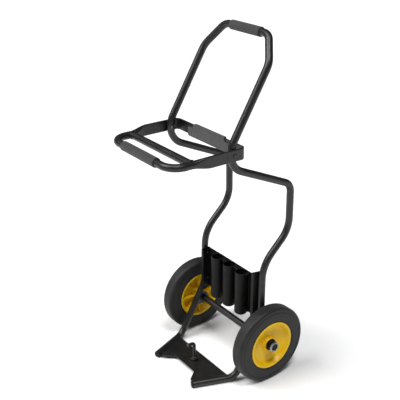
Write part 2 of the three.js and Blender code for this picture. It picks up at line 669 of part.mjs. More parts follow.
// The cart's box runs from the front of the ring's grip to the back of the tyres.
cart.position.y = (RING_FRONT + GRIP_R - WHEEL_R) / 2;

const model = new THREE.Group();
model.add(cart);

export default model;
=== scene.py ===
# The looks of a two-wheeled garden cart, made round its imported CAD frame.
# Sizes are in millimetres, and build() turns them into metres. As in the CAD part, -Y is the front,
# left is -X, heights are from the ground, and Y is measured from the axle.
import json
from math import atan2, ceil, cos, pi, radians, sin, tan

import bpy
from mathutils import Matrix, Vector


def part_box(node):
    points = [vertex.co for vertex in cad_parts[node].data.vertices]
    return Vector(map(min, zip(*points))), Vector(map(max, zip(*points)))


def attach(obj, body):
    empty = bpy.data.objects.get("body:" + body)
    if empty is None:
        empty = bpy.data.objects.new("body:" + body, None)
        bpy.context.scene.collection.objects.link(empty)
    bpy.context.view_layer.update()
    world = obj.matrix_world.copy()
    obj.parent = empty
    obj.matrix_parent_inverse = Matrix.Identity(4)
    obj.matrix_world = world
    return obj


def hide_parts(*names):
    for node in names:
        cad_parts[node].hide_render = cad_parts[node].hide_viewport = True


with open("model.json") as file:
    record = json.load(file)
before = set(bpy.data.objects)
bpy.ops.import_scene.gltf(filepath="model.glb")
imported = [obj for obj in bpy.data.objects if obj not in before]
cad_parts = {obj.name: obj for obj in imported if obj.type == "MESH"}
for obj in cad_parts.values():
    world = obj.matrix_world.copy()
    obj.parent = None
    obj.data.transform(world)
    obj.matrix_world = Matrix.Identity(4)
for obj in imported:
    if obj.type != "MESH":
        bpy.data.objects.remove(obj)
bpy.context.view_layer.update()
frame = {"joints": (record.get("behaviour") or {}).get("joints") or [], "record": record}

MM = 0.001
SIDES = (-1, 1)
WORD = {-1: "left", 1: "right"}


def middle(node):
    low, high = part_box(node)
    return (low + high) / 2


# ---------------------------------------------------------------- driving sizes

TUBE_R = 11
TUBE_SIDES = 48
AXLE_Y = middle("axle").y  # in metres, where the frame has the axle

SIDE_X = 145  # centre line of each side tube
TOP_X = 95
TOE_X = 97
TOP = (40, 1053, 35)  # a corner's y, z and bend radius
SHOULDER = (1, 987, 60)
ELBOW = (-152, 728, 65)
BACK = (102, 615, 38)
SEAT = (104, 468, 90)
HIP = (5, 372, 110)
ANKLE = (5, 188, 60)
HEEL = (-93, 11, 40)
TOE = (-220, 11)

HANDLE_JOINT_Z = 860
LEG_JOINT_Z = 308
SPIGOT_R = 9.2
JOINT_GAP = 0.3

RING_FRONT = 322  # distances ahead of the axle
RING_X = 150
RING_FRONT_R = 45
FLAT_X = 160.5
FLAT_START = 258
FLAT_FULL = 200
FLAT_BACK = 87
FLAT_BACK_R = 14
FLAT_THICKNESS = 6
FLAT_HEIGHT = 35
SEAM = 150
CROSS_BAR = 255.6

GRIP_R = 14.2
GRIP_BORE = 11.3

WHEEL_R = 125
RIM_R = 77.5
RIM_X = 22.6  # half the rim's width
HUB_BORE = 14.2
RIB_THICKNESS = 3
RIBS = 8
WHEEL_X = middle("right_tyre").x / MM
AXLE_END = 218
AXLE_BORE = 11.3  # in whatever sits on the axle

HOLDER_TOP = 319
HOLDER_BOTTOM = 176
HOLDER_BACK = 14
POCKET_BOTTOM = 171
POCKET_Y = -6.5
POCKET_PITCH = 61
POCKET_R = 20.5
POCKET_BORE_R = 17.5
RAIL_X = 86
CHEEK_X = SIDE_X - TUBE_R - JOINT_GAP
CHEEK_THICKNESS = 4
CHEEK_FRONT = 19
CHEEK_LIP = 12
CHEEK_BOTTOM = 170
CHEEK_TOP = {-1: 319, 1: 347}
HOLDER_SCREW_Z = (300, 206)

PLATE_BOTTOM = 11.5
PLATE_THICKNESS = 3
PLATE_TOP = PLATE_BOTTOM + PLATE_THICKNESS
PLATE_BACK = 108
PLATE_FRONT = 181
PLATE_WING = 214
HOOK_Y = -144
HOOK_R = 5.5
HOOK_BOSS_R = 13.5
HOOK_BOSS_TOP = 24.5

# The ring turns about the joint's own axis.
TILT = next(joint for joint in frame["joints"] if joint["name"] == "ring_tilt")
PIVOT_Y = (TILT["pos_m"][1] - AXLE_Y) / MM
PIVOT_Z = TILT["pos_m"][2] / MM


# ---------------------------------------------------------------- outlines and paths


def point(x, y, z):
    return Vector((x, y, z))


def rounded(corners, closed=False, step=radians(5)):
    """The points of a path or outline whose corners, each (vector, radius), are turned into arcs."""
    points = []
    for i, (here, radius) in enumerate(corners):
        if not radius or (not closed and i in (0, len(corners) - 1)):
            points.append(here)
            continue
        into = (here - corners[i - 1][0]).normalized()
        out = (corners[(i + 1) % len(corners)][0] - here).normalized()
        turn = into.angle(out)
        centre = here + (out - into).normalized() * (radius / cos(turn / 2))
        spoke = here - into * (radius * tan(turn / 2)) - centre
        steps = max(2, ceil(turn / step))
        for k in range(steps + 1):
            angle = turn * k / steps
            points.append(centre + spoke * cos(angle) + into * (radius * sin(angle)))
    return points


def outline(*corners, closed=True, step=radians(10)):
    """A flat outline from corners (u, v) or (u, v, radius)."""
    pairs = [(Vector(c[:2]), c[2] if len(c) > 2 else 0) for c in corners]
    return rounded(pairs, closed, step)


def inset(shape, amount):
    """An anticlockwise outline moved inwards by an amount."""
    moved = []
    for i, here in enumerate(shape):
        into = (here - shape[i - 1]).normalized()
        out = (shape[(i + 1) % len(shape)] - here).normalized()
        across = Vector((-into.y - out.y, into.x + out.x)).normalized()
        moved.append(here + across * (amount / max(across.dot(Vector((-into.y, into.x))), 0.4)))
    return moved


def polygon(radius, sides, turn=0.0):
    angles = [2 * pi * k / sides + turn for k in range(sides)]
    return [Vector((radius * cos(a), radius * sin(a))) for a in angles]


# ---------------------------------------------------------------- shells: (points, faces) in millimetres


def skin(rings, closed=False):
    """A surface over rings of points, with flat ends or, if closed, the last ring joined to the first."""
    count = len(rings[0])
    points = [p for ring in rings for p in ring]
    faces = []
    for i in range(len(rings) if closed else len(rings) - 1):
        a = i * count
        b = (i + 1) % len(rings) * count
        for k in range(count):
            j = (k + 1) % count
            faces.append((a + k, a + j, b + j, b + k))
    if not closed:
        faces.append(tuple(reversed(range(count))))
        faces.append(tuple(range(len(points) - count, len(points))))
    return points, faces


def stations(path, closed=False):
    """Each point of a path with two directions across it, carried along without twist."""
    last = len(path) - 1
    across = None
    found = []
    for i, here in enumerate(path):
        before = path[i - 1] if i or closed else here
        after = path[(i + 1) % len(path)] if i < last or closed else here
        ahead = (after - before).normalized()
        across = ahead.orthogonal() if across is None else across - ahead * across.dot(ahead)
        across.normalize()
        found.append((here, across.copy(), ahead.cross(across)))
    return found


def tube(path, radius, sides=TUBE_SIDES, edge=0.6):
    """A round bar along a path, with a small round on each end."""
    start = (path[1] - path[0]).normalized() * edge
    end = (path[-1] - path[-2]).normalized() * edge
    line = [path[0], path[0] + start * 0.3, path[0] + start, *path[1:-1]]
    line += [path[-1] - end, path[-1] - end * 0.3, path[-1]]
    radii = [radius - edge, radius - edge * 0.3] + [radius] * (len(line) - 4)
    radii += [radius - edge * 0.3, radius - edge]
    rings = []
    for (here, u, v), size in zip(stations(line), radii):
        rings.append([here + u * p.x + v * p.y for p in polygon(size, sides)])
    return skin(rings)


def weld(path, radius=2.0, ripple=2.2, closed=False):
    """A bead of weld metal along a path, with the ripple of its runs."""
    line = []
    travelled = 0.0
    legs = list(zip(path, path[1:] + path[:1] if closed else path[1:]))
    for a, b in legs:
        steps = max(1, ceil((b - a).length / 0.55))
        line += [a.lerp(b, k / steps) for k in range(steps)]
    if not closed:
        line.append(path[-1])
    rings = []
    for i, (here, u, v) in enumerate(stations(line, closed)):
        travelled += (here - line[i - 1]).length if i else 0
        swell = 1 + 0.13 * abs(sin(pi * travelled / ripple)) + 0.05 * sin(travelled * 0.9)
        taper = 1 if closed else min(1, 0.35 + min(i, len(line) - 1 - i) / 5)
        rings.append([here + u * p.x + v * p.y for p in polygon(radius * swell * taper, 12)])
    return skin(rings, closed)


def lathe(profile, sides=96):
    """A closed outline of (along, radius) turned about the X axis."""
    points = []
    rings = []
    for along, radius in profile:
        if radius < 1e-6:
            rings.append([len(points)] * sides)
            points.append(point(along, 0, 0))
            continue
        rings.append(list(range(len(points), len(points) + sides)))
        points += [point(along, p.x, p.y) for p in polygon(radius, sides)]
    faces = []
    for i, ring in enumerate(rings):
        after = rings[(i + 1) % len(rings)]
        for k in range(sides):
            j = (k + 1) % sides
            corners = dict.fromkeys((ring[k], ring[j], after[j], after[k]))
            if len(corners) > 2:
                faces.append(tuple(corners))
    return points, faces


def slab(shape, thickness, edge=0.6):
    """An anticlockwise outline in the XY plane, raised along Z, with rounded edges."""
    steps = 3
    quarter = [pi / 2 * k / steps for k in range(steps + 1)]
    layers = [(edge * (1 - sin(a)), edge * (1 - cos(a))) for a in quarter]
    layers += [(edge * (1 - cos(a)), thickness - edge * (1 - sin(a))) for a in quarter]
    return skin([[point(p.x, p.y, z) for p in inset(shape, amount)] for amount, z in layers])


def moved(shell, matrix):
    points, faces = shell
    return [matrix @ p for p in points], faces


def shifted(shell, x, y, z):
    return moved(shell, Matrix.Translation((x, y, z)))


def upright(shell):
    """Turns a shape from the X axis to the Z axis."""
    return moved(shell, Matrix.Rotation(-pi / 2, 4, "Y"))


# A slab whose outline is drawn in (y, z), with its thickness along X; in (x, z), along Y.
IN_YZ = Matrix(((0, 0, 1, 0), (1, 0, 0, 0), (0, 1, 0, 0), (0, 0, 0, 1)))
IN_XZ = Matrix(((1, 0, 0, 0), (0, 0, -1, 0), (0, 1, 0, 0), (0, 0, 0, 1)))


# ---------------------------------------------------------------- materials


class Paint:
    """A principled material with helpers for the texture nodes that feed it."""

    def __init__(self, name, **sockets):
        self.material = bpy.data.materials.new(name)
        self.material.use_nodes = True
        self.tree = self.material.node_tree
        self.shader = self.tree.nodes["Principled BSDF"]
        self.place = self.node("ShaderNodeTexCoord").outputs["Object"]
        for socket, value in sockets.items():
            self.shader.inputs[socket.replace("_", " ")].default_value = value

    def node(self, kind, **inputs):
        made = self.tree.nodes.new(kind)
        for socket, value in inputs.items():
            self.feed(made.inputs[socket.replace("_", " ")], value)
        return made

    def feed(self, socket, value):
        if isinstance(value, bpy.types.NodeSocket):
            self.tree.links.new(value, socket)
        else:
            socket.default_value = value

    def noise(self, scale, detail=3.0, rough=0.55, stretch=None):
        place = self.place
        if stretch:
            place = self.node("ShaderNodeMapping", Vector=place, Scale=stretch).outputs[0]
        made = self.node("ShaderNodeTexNoise", Vector=place, Scale=scale, Detail=detail, Roughness=rough)
        return made.outputs["Fac"]

    def cells(self, scale, feature="F1"):
        made = self.node("ShaderNodeTexVoronoi", Vector=self.place, Scale=scale)
        made.feature = feature
        return made.outputs["Distance"]

    def spread(self, value, low, high, to_low=0.0, to_high=1.0):
        made = self.node("ShaderNodeMapRange", Value=value)
        ends = {"From Min": low, "From Max": high, "To Min": to_low, "To Max": to_high}
        for socket, number in ends.items():
            self.feed(made.inputs[socket], number)
        made.clamp = True
        return made.outputs[0]

    def maths(self, operation, a, b):
        made = self.node("ShaderNodeMath")
        made.operation = operation
        self.feed(made.inputs[0], a)
        self.feed(made.inputs[1], b)
        return made.outputs[0]

    def mix(self, factor, a, b):
        made = self.node("ShaderNodeMix")
        made.data_type = "RGBA"
        self.feed(made.inputs[0], factor)
        self.feed(made.inputs[6], a)
        self.feed(made.inputs[7], b)
        return made.outputs[2]

    def height(self):
        return self.node("ShaderNodeSeparateXYZ", Vector=self.place).outputs["Z"]

    def edges(self, low, high):
        """High where the surface is sharply convex, as along a worn edge."""
        return self.spread(self.node("ShaderNodeNewGeometry").outputs["Pointiness"], low, high)

    def bump(self, height, strength, distance, below=None):
        made = self.node("ShaderNodeBump", Height=height, Strength=strength, Distance=distance)
        if below:
            self.feed(made.inputs["Normal"], below)
        return made.outputs[0]

    def finish(self, colour, roughness, normal=None):
        self.feed(self.shader.inputs["Base Color"], colour)
        self.feed(self.shader.inputs["Roughness"], roughness)
        if normal:
            self.feed(self.shader.inputs["Normal"], normal)
        return self.material


def grey(value, warm=0.0):
    return (value * (1 + warm), value, value * (1 - warm), 1)


def powder_coat():
    """Satin black coating with its orange peel, soft mottling, and dust low down."""
    paint = Paint("satin_black_powder_coat", Specular_IOR_Level=0.45, Coat_Weight=0.08, Coat_Roughness=0.3)
    mottle = paint.noise(14, 4)
    colour = paint.mix(mottle, grey(0.005), grey(0.009))
    low_down = paint.spread(paint.height(), 0.1, 0.0)
    dust = paint.maths("MULTIPLY", low_down, paint.spread(paint.noise(60, 6), 0.45, 0.8))
    colour = paint.mix(paint.maths("MULTIPLY", dust, 0.12), colour, grey(0.1, 0.1))
    roughness = paint.spread(paint.noise(35, 5), 0.3, 0.7, 0.34, 0.46)
    peel = paint.bump(paint.noise(900, 2), 0.22, 0.0004)
    fine = paint.bump(paint.noise(3200, 1), 0.1, 0.0002, peel)
    return paint.finish(colour, roughness, fine)


def foam(name, dark, light):
    """Closed-cell foam: dull, finely pitted, a little paler where it is handled."""
    paint = Paint(name, Specular_IOR_Level=0.3, Sheen_Weight=0.15, Sheen_Roughness=0.6)
    pits = paint.cells(1500)
    worn = paint.maths("MULTIPLY", paint.noise(30, 4), 0.7)
    tone = paint.maths("ADD", worn, paint.maths("MULTIPLY", pits, 0.35))
    colour = paint.mix(tone, grey(dark), grey(light))
    pitted = paint.bump(pits, 0.45, 0.0005)
    soft = paint.bump(paint.noise(160, 4), 0.25, 0.0008, pitted)
    return paint.finish(colour, paint.spread(paint.noise(50, 3), 0.3, 0.7, 0.78, 0.92), soft)


def black_plastic():
    """Moulded black plastic with a fine spark-eroded grain and faint rubbing along its flutes."""
    paint = Paint("moulded_black_plastic", Specular_IOR_Level=0.16)
    rubbed = paint.noise(40, 5, stretch=(1, 1, 0.12))
    colour = paint.mix(rubbed, grey(0.004), grey(0.008))
    grain = paint.bump(paint.cells(2200), 0.25, 0.0003)
    return paint.finish(colour, paint.spread(rubbed, 0.3, 0.7, 0.36, 0.5), grain)


def yellow_plastic():
    """Moulded yellow plastic: slight flow marks, a fine grain, and dirt with painted shade darkening its
    corners and hollows.
    """
    paint = Paint("moulded_yellow_plastic", Specular_IOR_Level=0.25, Coat_Weight=0.06, Coat_Roughness=0.25)
    flow = paint.noise(22, 4)
    colour = paint.mix(flow, (0.72, 0.44, 0.003, 1), (0.84, 0.54, 0.005, 1))
    # Concave corners and hollows, such as the wheel's dish and pockets, are darkened: partly dirt, partly
    # painted shade.
    crevice_shade_mask = paint.spread(paint.node("ShaderNodeNewGeometry").outputs["Pointiness"], 0.49, 0.40)
    dirt_and_painted_shade = paint.maths("MULTIPLY", crevice_shade_mask, paint.spread(paint.noise(120, 5), 0.3, 0.7, 0.2, 0.8))
    colour = paint.mix(dirt_and_painted_shade, colour, (0.12, 0.06, 0.006, 1))
    grain = paint.bump(paint.noise(1400, 2), 0.1, 0.0003)
    return paint.finish(colour, paint.spread(flow, 0.3, 0.7, 0.3, 0.4), grain)


def tyre_rubber():
    """Black rubber: dull, with a bloom of dust on the tread and faint moulding rings."""
    paint = Paint("tyre_rubber", Specular_IOR_Level=0.35, Sheen_Weight=0.04, Sheen_Roughness=0.5)
    patch = paint.noise(26, 6)
    dust = paint.spread(patch, 0.42, 0.75)
    colour = paint.mix(dust, grey(0.007), grey(0.018, 0.03))
    scuff = paint.bump(paint.noise(500, 5), 0.3, 0.0006)
    fine = paint.bump(paint.noise(1900, 2), 0.2, 0.0003, scuff)
    return paint.finish(colour, paint.spread(patch, 0.3, 0.7, 0.5, 0.68), fine)


def chrome():
    """Bright plating with hairline scratches round it."""
    paint = Paint("bright_plating", Metallic=1.0)
    hair = paint.noise(900, 3, stretch=(8, 1, 1))
    roughness = paint.spread(paint.noise(90, 4), 0.3, 0.7, 0.18, 0.3)
    return paint.finish(paint.mix(hair, grey(0.2), grey(0.34)), roughness, paint.bump(hair, 0.08, 0.0001))


def black_steel():
    """Blackened steel, a little bare on its edges."""
    paint = Paint("blackened_steel", Metallic=0.85)
    worn = paint.maths("MULTIPLY", paint.edges(0.52, 0.60), paint.spread(paint.noise(300, 4), 0.4, 0.7))
    colour = paint.mix(worn, grey(0.045), grey(0.26, 0.03))
    roughness = paint.spread(paint.noise(150, 4), 0.3, 0.7, 0.36, 0.5)
    return paint.finish(colour, roughness, paint.bump(paint.noise(1200, 3), 0.2, 0.0002))


MATERIAL = {
    "powder_coat": powder_coat(),
    "foam_grip": foam("grip_foam", 0.018, 0.036),
    "soft_pad": foam("pad_foam", 0.03, 0.055),
    "black_plastic": black_plastic(),
    "yellow_plastic": yellow_plastic(),
    "tyre": tyre_rubber(),
    "chrome": chrome(),
    "black_steel": black_steel(),
}
SLOT_OF = {row["node"]: row["material_slot"] for row in frame["record"]["subparts"]}
BODY_OF = {n: body for body, names in frame["record"]["behaviour"]["bodies"].items() for n in names}


def build(node, *shells, sharp=32):
    """Makes the finished piece that stands for a CAD node, from shells in millimetres."""
    points = []
    faces = []
    for shell_points, shell_faces in shells:
        start = len(points)
        points += [Vector((p.x * MM, p.y * MM + AXLE_Y, p.z * MM)) for p in shell_points]
        faces += [tuple(start + k for k in face) for face in shell_faces]
    mesh = bpy.data.meshes.new(node + "_piece")
    mesh.from_pydata(points, [], faces)
    mesh.validate()
    mesh.shade_smooth()
    mesh.set_sharp_from_angle(angle=radians(sharp))
    mesh.materials.append(MATERIAL[SLOT_OF[node]])
    made = bpy.data.objects.new(node + "_piece", mesh)
    bpy.context.scene.collection.objects.link(made)
    made.modifiers.new("even_shading", "WEIGHTED_NORMAL").keep_sharp = True
    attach(made, BODY_OF[node])
    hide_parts(node)
    return made


# ---------------------------------------------------------------- frame tubes


def corner(side, place):
    return point(side * SIDE_X, place[0], place[1]), place[2]


def on_run(side, upper, lower, z):
    """A point on a straight run of the side tube, at a height."""
    share = (z - lower[1]) / (upper[1] - lower[1])
    return point(side * SIDE_X, lower[0] + share * (upper[0] - lower[0]), z)


def handle_tube():
    left = [(on_run(-1, SHOULDER, ELBOW, HANDLE_JOINT_Z), 0), corner(-1, SHOULDER)]
    right = [corner(1, SHOULDER), (on_run(1, SHOULDER, ELBOW, HANDLE_JOINT_Z), 0)]
    top = [(point(side * TOP_X, TOP[0], TOP[1]), TOP[2]) for side in SIDES]
    return tube(rounded(left + top + right), TUBE_R)


def column_tube(side):
    upper = on_run(side, SHOULDER, ELBOW, HANDLE_JOINT_Z - JOINT_GAP)
    lower = point(side * SIDE_X, HIP[0], LEG_JOINT_Z + JOINT_GAP)
    bends = [corner(side, place) for place in (ELBOW, BACK, SEAT, HIP)]
    spigot = [on_run(side, SHOULDER, ELBOW, HANDLE_JOINT_Z + dz) for dz in (-8, 30)]
    return tube(rounded([(upper, 0), *bends, (lower, 0)]), TUBE_R), tube(spigot, SPIGOT_R)


def leg_tube(side):
    upper = point(side * SIDE_X, HIP[0], LEG_JOINT_Z)
    toe = point(side * TOE_X, *TOE)
    spigot = [point(side * SIDE_X, HIP[0], LEG_JOINT_Z + dz) for dz in (-8, 30)]
    path = rounded([(upper, 0), corner(side, ANKLE), corner(side, HEEL), (toe, 0)])
    return tube(path, TUBE_R), tube(spigot, SPIGOT_R)


def pointing(place, ahead):
    """Puts a shape about the X axis at a place, along a direction."""
    return Matrix.Translation(place) @ ahead.to_track_quat("X", "Z").to_matrix().to_4x4()


def screw_head(radius, height, recess=1.6):
    """A domed head along +X with a round socket in it."""
    return lathe(
        outline(
            (0, 0), (0, radius), (height * 0.45, radius, height * 0.2),
            (height, radius * 0.62, height * 0.3), (height, recess, 0.1),
            (height * 0.35, recess), (height * 0.35, 0),
            closed=False,
        )[::-1],
        40,
    )


def joint_screw(side):
    run = on_run(side, SHOULDER, ELBOW, HANDLE_JOINT_Z + 17)
    back = point(0, SHOULDER[1] - ELBOW[1], ELBOW[0] - SHOULDER[0]).normalized()
    return moved(screw_head(4.5, 1.4), pointing(run + back * (TUBE_R - 0.2), back))


def foot_cap(side):
    """A domed plug head with a shallow rim, on the open end of a foot."""
    heel = point(side * SIDE_X, HEEL[0], HEEL[1])
    toe = point(side * TOE_X, *TOE)
    ahead = (toe - heel).normalized()
    profile = outline(
        (0.3, 0), (0.3, 10.4, 0.3), (0.9, TUBE_R, 0.5), (3.4, TUBE_R, 1.4), (4.6, 8, 2), (5, 0),
        closed=False,
    )
    return moved(lathe(profile[::-1], 64), pointing(toe, ahead))


# ---------------------------------------------------------------- tilting ring


def pressed(y):
    share = min(max((y + FLAT_START) / (FLAT_START - FLAT_FULL), 0), 1)
    return share * share * (3 - 2 * share)


def arm_x(y):
    """The centre line of the ring's right arm sways outwards as it is pressed flat."""
    return RING_X + (FLAT_X - RING_X) * pressed(y)


def section(here, outward):
    """The tube's outline at a place on the ring: a circle, pressed to a flat oval."""
    flat = pressed(here.y)
    thickness = 2 * TUBE_R + (FLAT_THICKNESS - 2 * TUBE_R) * flat
    height = 2 * TUBE_R + (FLAT_HEIGHT - 2 * TUBE_R) * flat
    ring = []
    for p in polygon(thickness / 2, TUBE_SIDES, pi / TUBE_SIDES):
        rise = (height - thickness) / 2 * (1 if p.y > 0 else -1)
        ring.append(here + outward * p.x + point(0, 0, p.y + rise))
    return ring


def along_ring(path, edge=0.5):
    rings = []
    for i, here in enumerate(path):
        before = path[max(i - 1, 0)]
        after = path[min(i + 1, len(path) - 1)]
        ahead = (after - before).normalized()
        rings.append(section(here, point(ahead.y, -ahead.x, 0)))
    for end, inner in ((0, 1), (-1, -2)):
        centre = path[end]
        ahead = (path[inner] - centre).normalized()
        small = [centre + (p - centre) * (1 - edge / TUBE_R) for p in rings[end]]
        rings[end] = [p + ahead * edge for p in rings[end]]
        rings.insert(0 if end == 0 else len(rings), small)
    return skin(rings)


def ring_tube():
    """The front bow: along its left arm, round the front and back along its right arm."""
    front = [(point(side * RING_X, -RING_FRONT, PIVOT_Z), RING_FRONT_R) for side in SIDES]
    steps = 36
    arm = [point(0, -SEAM - 0.15 - (FLAT_START - SEAM) * k / steps, PIVOT_Z) for k in range(steps + 1)]
    left = [point(-arm_x(p.y), p.y, p.z) for p in arm]
    right = [point(arm_x(p.y), p.y, p.z) for p in reversed(arm)]
    bow = rounded([(left[-1], 0), *front, (right[0], 0)], step=radians(4))
    return along_ring(left[:-1] + bow + right[1:])


def ring_strap():
    """The flat strap behind the seam: along one side, across the back, and along the other side."""
    ends = [point(side * FLAT_X, -SEAM + 0.15, PIVOT_Z) for side in SIDES]
    back = [(point(side * FLAT_X, -FLAT_BACK, PIVOT_Z), FLAT_BACK_R) for side in SIDES]
    return along_ring(rounded([(ends[0], 0), *back, (ends[1], 0)]))


def ring_cross_bar():
    reach = RING_X - TUBE_R + 1.5
    ends = [point(side * reach, -CROSS_BAR, PIVOT_Z) for side in SIDES]
    beads = []
    for side in SIDES:
        saddle = []
        for p in polygon(TUBE_R + 0.6, 60):
            dip = TUBE_R - (TUBE_R**2 - min(abs(p.y), TUBE_R - 0.4) ** 2) ** 0.5
            seat = RING_X - TUBE_R - 0.6 + 0.75 * dip
            saddle.append(point(side * seat, -CROSS_BAR + p.x, PIVOT_Z + p.y))
        beads.append(weld(saddle, 1.7, closed=True))
    return tube(ends, TUBE_R), *beads


def grip(length):
    """A foam sleeve with soft ends and a faint swell along its middle."""
    half = length / 2
    outer = GRIP_R - 0.1
    return lathe(
        outline(
            (-half, GRIP_BORE, 0.3), (-half, outer, 2), (-half * 0.5, outer + 0.1, 40),
            (half * 0.5, outer + 0.1, 40), (half, outer, 2), (half, GRIP_BORE, 0.3),
        )[::-1],
        72,
    )


def ring_back_pad():
    """A soft saddle over the strap: a tall front face with lower wings, a rounded top, and a back."""
    half = FLAT_THICKNESS / 2 + 0.3
    front = -FLAT_BACK - half - 2.5
    foot = PIVOT_Z - FLAT_HEIGHT / 2 - 4
    roof = PIVOT_Z + FLAT_HEIGHT / 2 + 2.8
    wing = PIVOT_Z + 8
    face = outline(
        (-100, foot, 5), (100, foot, 5), (100, wing, 4), (76, wing, 2), (73, roof, 4),
        (-73, roof, 4), (-76, wing, 2), (-100, wing, 4),
    )
    sheet = shifted(moved(slab(face, 2.5, 1.1), IN_XZ), 0, front + 2.5, 0)
    behind = front + 2 + 2 * half
    saddle = outline(
        (front + 1.3, roof, 0), (front + 1.3, roof - 2.3), (behind, roof - 2.3, 0.5),
        (behind + 0.5, foot + 1, 0), (behind + 3, foot + 1, 1.2), (behind + 3, roof, 2.2),
    )
    cover = shifted(moved(slab(saddle, 142, 1.0), IN_YZ), -71, 0, 0)
    return sheet, cover


def stop_pin(side):
    low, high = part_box(WORD[side] + "_stop_pin")
    y = ((low.y + high.y) / 2 - AXLE_Y) / MM
    z = (low.z + high.z) / 2 / MM
    return tube([point(low.x / MM, y, z), point(high.x / MM, y, z)], (high.z - low.z) / 2 / MM, 32, 0.8)


def at_pivot(shell, side):
    """Puts a shape about the X axis, facing outwards, on one side of the pivot."""
    turn = Matrix.Rotation(pi if side < 0 else 0, 4, "Z")
    return moved(shell, Matrix.Translation((0, PIVOT_Y, PIVOT_Z)) @ turn)


def pivot_bolt(side):
    head = FLAT_X + FLAT_THICKNESS / 2 + 0.3
    tip = SIDE_X - TUBE_R - 9
    profile = outline(
        (tip, 0), (tip, 4, 0.8), (head, 4), (head, 6.4, 0.2), (head + 0.7, 6.4, 0.3),
        (head + 1.5, 4.6, 0.8), (head + 1.5, 2.2, 0.15), (head + 0.3, 2.2), (head + 0.3, 0),
        closed=False,
    )
    return at_pivot(lathe(profile[::-1], 48), side)


def pivot_washer(side):
    inner = SIDE_X + TUBE_R + 0.15
    outer = FLAT_X - FLAT_THICKNESS / 2 - 0.15
    profile = outline((inner, 4.3), (outer, 4.3), (outer, 9, 0.3), (inner, 9, 0.3))
    return at_pivot(lathe(profile, 48), side)


def hexagon_nut(across, height):
    """A nut about the X axis, from 0 to its height, with chamfered corners."""
    body = moved(slab(polygon(across / 2 / cos(pi / 6), 6), height, 0.7), IN_YZ)
    face = height + 0.15
    collar = lathe(outline((0, 0), (face, 0), (face, across * 0.4, 0.2), (0, across * 0.4)), 40)
    return body, collar


def pivot_nut(side):
    return [at_pivot(shifted(s, SIDE_X - TUBE_R - 7.8, 0, 0), side) for s in hexagon_nut(13, 7.5)]


# ---------------------------------------------------------------- wheels and axle


def at_wheel(shell, side, x=WHEEL_X):
    """Puts a shape about the X axis, facing outwards, on one side of the axle."""
    turn = Matrix.Rotation(pi if side < 0 else 0, 4, "Z")
    return moved(shell, Matrix.Translation((0, 0, WHEEL_R)) @ turn @ Matrix.Translation((x, 0, 0)))


def tyre():
    half = [
        (0.5, WHEEL_R - 0.25), (1.0, WHEEL_R, 0.3), (21.2, WHEEL_R, 10), (21.2, 112.2, 1),
        (20.3, 111, 0.8), (20.3, 109.6, 0.8), (21.6, 108, 1.5), (22.0, 94, 25), (21.5, 82.6, 1.2),
        (20.2, 81.2, 0.8), (20.2, 79.6, 0.8), (20.9, 78.6, 0.5), (20.4, 77.8, 0.3), (19.2, 77.4, 0.3),
        (19.2, 74),
    ]
    other = [(-c[0], *c[1:]) for c in reversed(half)]
    return lathe(outline(*half, *other, step=radians(7)), 160)


def rim():
    web = outline(
        (-23, HUB_BORE), (-23, 19.6, 1.2), (-2, 22.5, 3), (-1.5, 60, 8), (-21.4, 70.6, 2.5),
        (-RIM_X, 72.5, 1), (-RIM_X, RIM_R, 1.2), (-20.7, RIM_R, 0.6), (-19.4, 73.8, 0.5),
        (19.4, 73.8, 0.5), (20.7, RIM_R, 0.6), (RIM_X, RIM_R, 1.4), (22.2, 70.4, 2.6), (8, 61.5, 9),
        (2.0, 41, 24), (1.8, 25.5, 4), (13.5, 20.4, 1.5), (14.5, 19, 0.8), (14.5, HUB_BORE),
        step=radians(7),
    )
    ribs = []
    blade = outline(
        (17.5, -1), (17.5, -18.5, 1), (30, -17.5, 20), (60, -17.5, 20), (71, -20.5), (71, -1),
    )
    rib = shifted(slab(blade[::-1], RIB_THICKNESS, 1.0), 0, 0, -RIB_THICKNESS / 2)
    lie = Matrix(((0, 1, 0, 0), (1, 0, 0, 0), (0, 0, 1, 0), (0, 0, 0, 1)))
    for i in range(RIBS):
        ribs.append(moved(rib, Matrix.Rotation(i * 2 * pi / RIBS, 4, "X") @ lie))
    return lathe(web, 144), *ribs


def hub_bush():
    return lathe(
        outline(
            (-24, AXLE_BORE), (17, AXLE_BORE, 0.3), (17, 19, 0.8), (14.8, 19), (14.8, 13.7), (-24, 13.7, 0.5),
        ),
        72,
    )


def hub_collar():
    end = AXLE_END - WHEEL_X - 1
    return lathe(
        outline(
            (17.3, AXLE_BORE), (end, AXLE_BORE), (end, 16.4, 0.8), (22.5, 16.4, 0.4), (21.8, 17, 0.4),
            (17.3, 17, 0.6),
        ),
        72,
    )


def axle_cap():
    """A bright pressed ring whose front rolls in towards the axle."""
    back = AXLE_END - WHEEL_X - 0.7
    profile = outline(
        (back, AXLE_BORE), (back + 3.2, AXLE_BORE, 0.6), (back + 3.4, 14, 1.5), (back + 1.8, 17.5, 1.4),
        (back, 17.5, 0.3),
    )
    return lathe(profile, 96)


def axle_plug():
    end = AXLE_END - WHEEL_X
    return lathe(
        outline(
            (end - 12, 0), (end - 12, 8.6), (end + 0.3, 8.6), (end + 0.3, 10.6, 0.1),
            (end + 1.3, 10.4, 0.5), (end + 1.5, 8, 0.4), (end + 0.8, 6.8, 0.4), (end + 0.8, 0),
            closed=False,
        )[::-1],
        64,
    )


def axle():
    return shifted(tube([point(-AXLE_END, 0, 0), point(AXLE_END, 0, 0)], TUBE_R), 0, 0, WHEEL_R)


def axle_spacer(side):
    inner = SIDE_X + TUBE_R + 1
    outer = WHEEL_X - 24.3
    profile = outline((inner, AXLE_BORE), (outer, AXLE_BORE), (outer, 15, 0.6), (inner, 15, 0.6))
    return at_wheel(lathe(profile, 64), side, 0)


def leg_y(z):
    return ANKLE[0] + (z - ANKLE[1]) * (HEEL[0] - ANKLE[0]) / (HEEL[1] - ANKLE[1])


